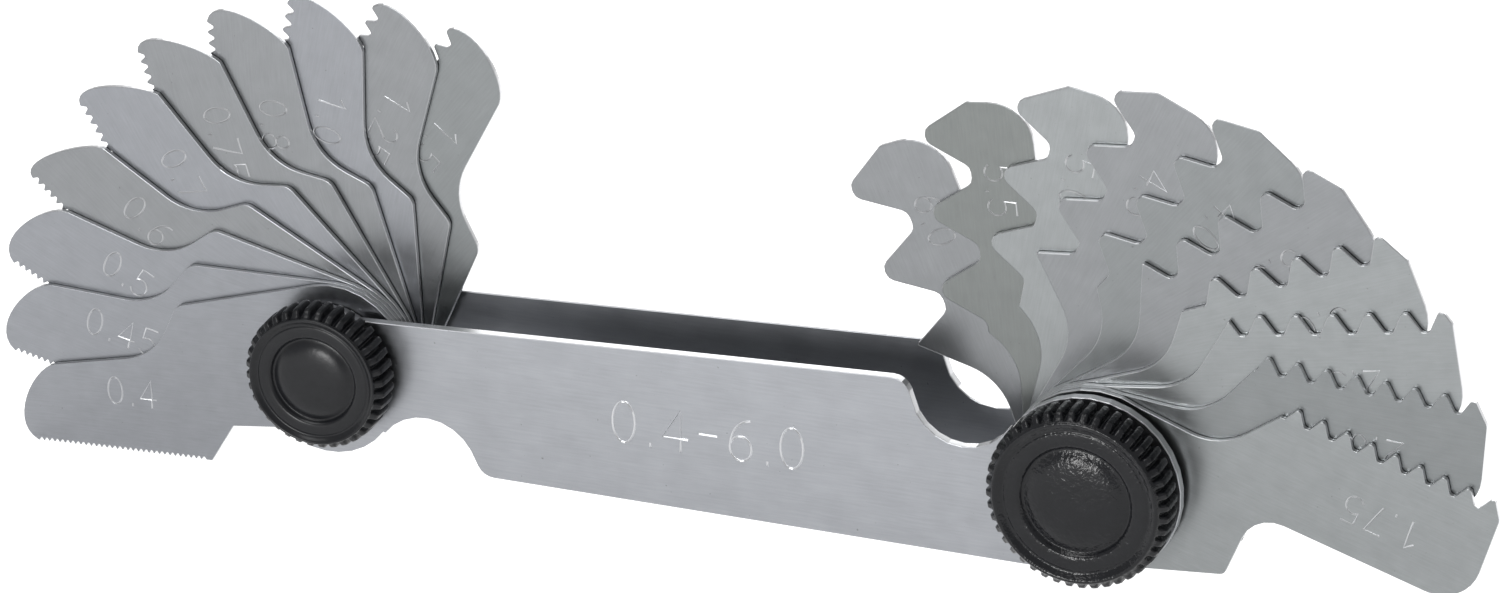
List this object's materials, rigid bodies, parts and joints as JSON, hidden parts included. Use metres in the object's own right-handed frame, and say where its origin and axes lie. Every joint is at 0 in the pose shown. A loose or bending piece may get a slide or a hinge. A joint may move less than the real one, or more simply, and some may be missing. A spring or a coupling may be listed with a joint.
{
  "type": "screw pitch gauge",
  "caption": "Folding screw pitch gauge: fans of toothed steel leaves pivot between side plates at each end and are clamped by knurled thumb nuts.",
  "frame": {"origin": "middle of the rear face of the screw head at the pivot of the fine leaves", "axes": "+X runs from the pivot of the fine leaves to the pivot of the coarse leaves, +Y runs along both pivots and out of the back of the case, away from the thumb nuts, and +Z points out of the open edge of the case that the leaves fold out of"},
  "size_m": [0.1076, 0.0114, 0.0368],
  "materials": {
    "plate_steel": "satin",
    "leaf_steel": "satin, fine grain",
    "screw_steel": "turned",
    "spring_steel": "blued",
    "brass": "turned",
    "black_plastic": "semi-matt, moulded"
  },
  "bodies": {
    "case": {"front_plate": "plate_steel", "back_plate": "plate_steel", "screw_fine": "screw_steel", "spacer_fine": "screw_steel", "spring_washer_fine": "spring_steel", "screw_coarse": "screw_steel", "spacer_coarse": "screw_steel", "spring_washer_coarse": "spring_steel"},
    "fine_nut_washer": {"nut_washer_fine": "screw_steel"},
    "fine_nut": {"knob_fine": "black_plastic", "insert_fine": "brass"},
    "coarse_nut_washer": {"nut_washer_coarse": "screw_steel"},
    "coarse_nut": {"knob_coarse": "black_plastic", "insert_coarse": "brass"},
    "leaf_0_40": {"leaf_0_40": "leaf_steel"},
    "leaf_0_45": {"leaf_0_45": "leaf_steel"},
    "leaf_0_50": {"leaf_0_50": "leaf_steel"},
    "leaf_0_60": {"leaf_0_60": "leaf_steel"},
    "leaf_0_70": {"leaf_0_70": "leaf_steel"},
    "leaf_0_75": {"leaf_0_75": "leaf_steel"},
    "leaf_0_80": {"leaf_0_80": "leaf_steel"},
    "leaf_1_00": {"leaf_1_00": "leaf_steel"},
    "leaf_1_25": {"leaf_1_25": "leaf_steel"},
    "leaf_1_50": {"leaf_1_50": "leaf_steel"},
    "leaf_1_75": {"leaf_1_75": "leaf_steel"},
    "leaf_2_00": {"leaf_2_00": "leaf_steel"},
    "leaf_2_50": {"leaf_2_50": "leaf_steel"},
    "leaf_3_00": {"leaf_3_00": "leaf_steel"},
    "leaf_3_50": {"leaf_3_50": "leaf_steel"},
    "leaf_4_00": {"leaf_4_00": "leaf_steel"},
    "leaf_4_50": {"leaf_4_50": "leaf_steel"},
    "leaf_5_00": {"leaf_5_00": "leaf_steel"},
    "leaf_5_50": {"leaf_5_50": "leaf_steel"},
    "leaf_6_00": {"leaf_6_00": "leaf_steel"}
  },
  "joints": [
    {"name": "fine_nut_travel", "type": "slide", "parent": "case", "child": "fine_nut_washer", "axis": [0, -1, 0], "range_m": [0, 0.0005]},
    {"name": "fine_nut_turn", "type": "hinge", "parent": "fine_nut_washer", "child": "fine_nut", "pos_m": [0, 0, 0], "axis": [0, -1, 0], "range_deg": [0, 360]},
    {"name": "coarse_nut_travel", "type": "slide", "parent": "case", "child": "coarse_nut_washer", "axis": [0, -1, 0], "range_m": [0, 0.0005]},
    {"name": "coarse_nut_turn", "type": "hinge", "parent": "coarse_nut_washer", "child": "coarse_nut", "pos_m": [0.0548, 0, 0], "axis": [0, -1, 0], "range_deg": [0, 360]},
    {"name": "leaf_0_40_fold", "type": "hinge", "parent": "case", "child": "leaf_0_40", "pos_m": [0, 0, 0], "axis": [0, -1, 0], "range_deg": [-199.5, 2.5]},
    {"name": "leaf_0_45_fold", "type": "hinge", "parent": "case", "child": "leaf_0_45", "pos_m": [0, 0, 0], "axis": [0, -1, 0], "range_deg": [-184.2, 17.8]},
    {"name": "leaf_0_50_fold", "type": "hinge", "parent": "case", "child": "leaf_0_50", "pos_m": [0, 0, 0], "axis": [0, -1, 0], "range_deg": [-169.2, 32.8]},
    {"name": "leaf_0_60_fold", "type": "hinge", "parent": "case", "child": "leaf_0_60", "pos_m": [0, 0, 0], "axis": [0, -1, 0], "range_deg": [-154.1, 47.9]},
    {"name": "leaf_0_70_fold", "type": "hinge", "parent": "case", "child": "leaf_0_70", "pos_m": [0, 0, 0], "axis": [0, -1, 0], "range_deg": [-138.1, 63.9]},
    {"name": "leaf_0_75_fold", "type": "hinge", "parent": "case", "child": "leaf_0_75", "pos_m": [0, 0, 0], "axis": [0, -1, 0], "range_deg": [-123.9, 78.1]},
    {"name": "leaf_0_80_fold", "type": "hinge", "parent": "case", "child": "leaf_0_80", "pos_m": [0, 0, 0], "axis": [0, -1, 0], "range_deg": [-110.2, 91.8]},
    {"name": "leaf_1_00_fold", "type": "hinge", "parent": "case", "child": "leaf_1_00", "pos_m": [0, 0, 0], "axis": [0, -1, 0], "range_deg": [-96, 106]},
    {"name": "leaf_1_25_fold", "type": "hinge", "parent": "case", "child": "leaf_1_25", "pos_m": [0, 0, 0], "axis": [0, -1, 0], "range_deg": [-81.9, 120.1]},
    {"name": "leaf_1_50_fold", "type": "hinge", "parent": "case", "child": "leaf_1_50", "pos_m": [0, 0, 0], "axis": [0, -1, 0], "range_deg": [-69.2, 132.8]},
    {"name": "leaf_1_75_fold", "type": "hinge", "parent": "case", "child": "leaf_1_75", "pos_m": [0.0548, 0, 0], "axis": [0, -1, 0], "range_deg": [-2.6, 178.4]},
    {"name": "leaf_2_00_fold", "type": "hinge", "parent": "case", "child": "leaf_2_00", "pos_m": [0.0548, 0, 0], "axis": [0, -1, 0], "range_deg": [-16.7, 164.3]},
    {"name": "leaf_2_50_fold", "type": "hinge", "parent": "case", "child": "leaf_2_50", "pos_m": [0.0548, 0, 0], "axis": [0, -1, 0], "range_deg": [-30.1, 150.9]},
    {"name": "leaf_3_00_fold", "type": "hinge", "parent": "case", "child": "leaf_3_00", "pos_m": [0.0548, 0, 0], "axis": [0, -1, 0], "range_deg": [-42.8, 138.2]},
    {"name": "leaf_3_50_fold", "type": "hinge", "parent": "case", "child": "leaf_3_50", "pos_m": [0.0548, 0, 0], "axis": [0, -1, 0], "range_deg": [-56.2, 124.8]},
    {"name": "leaf_4_00_fold", "type": "hinge", "parent": "case", "child": "leaf_4_00", "pos_m": [0.0548, 0, 0], "axis": [0, -1, 0], "range_deg": [-70.7, 110.3]},
    {"name": "leaf_4_50_fold", "type": "hinge", "parent": "case", "child": "leaf_4_50", "pos_m": [0.0548, 0, 0], "axis": [0, -1, 0], "range_deg": [-85.6, 95.4]},
    {"name": "leaf_5_00_fold", "type": "hinge", "parent": "case", "child": "leaf_5_00", "pos_m": [0.0548, 0, 0], "axis": [0, -1, 0], "range_deg": [-100.4, 80.6]},
    {"name": "leaf_5_50_fold", "type": "hinge", "parent": "case", "child": "leaf_5_50", "pos_m": [0.0548, 0, 0], "axis": [0, -1, 0], "range_deg": [-116.9, 64.1]},
    {"name": "leaf_6_00_fold", "type": "hinge", "parent": "case", "child": "leaf_6_00", "pos_m": [0.0548, 0, 0], "axis": [0, -1, 0], "range_deg": [-133.2, 47.8]}
  ],
  "couplings": [
    {"joint": "fine_nut_turn", "follows": "fine_nut_travel", "rad_per_m": 12566},
    {"joint": "coarse_nut_turn", "follows": "coarse_nut_travel", "rad_per_m": 12566}
  ]
}
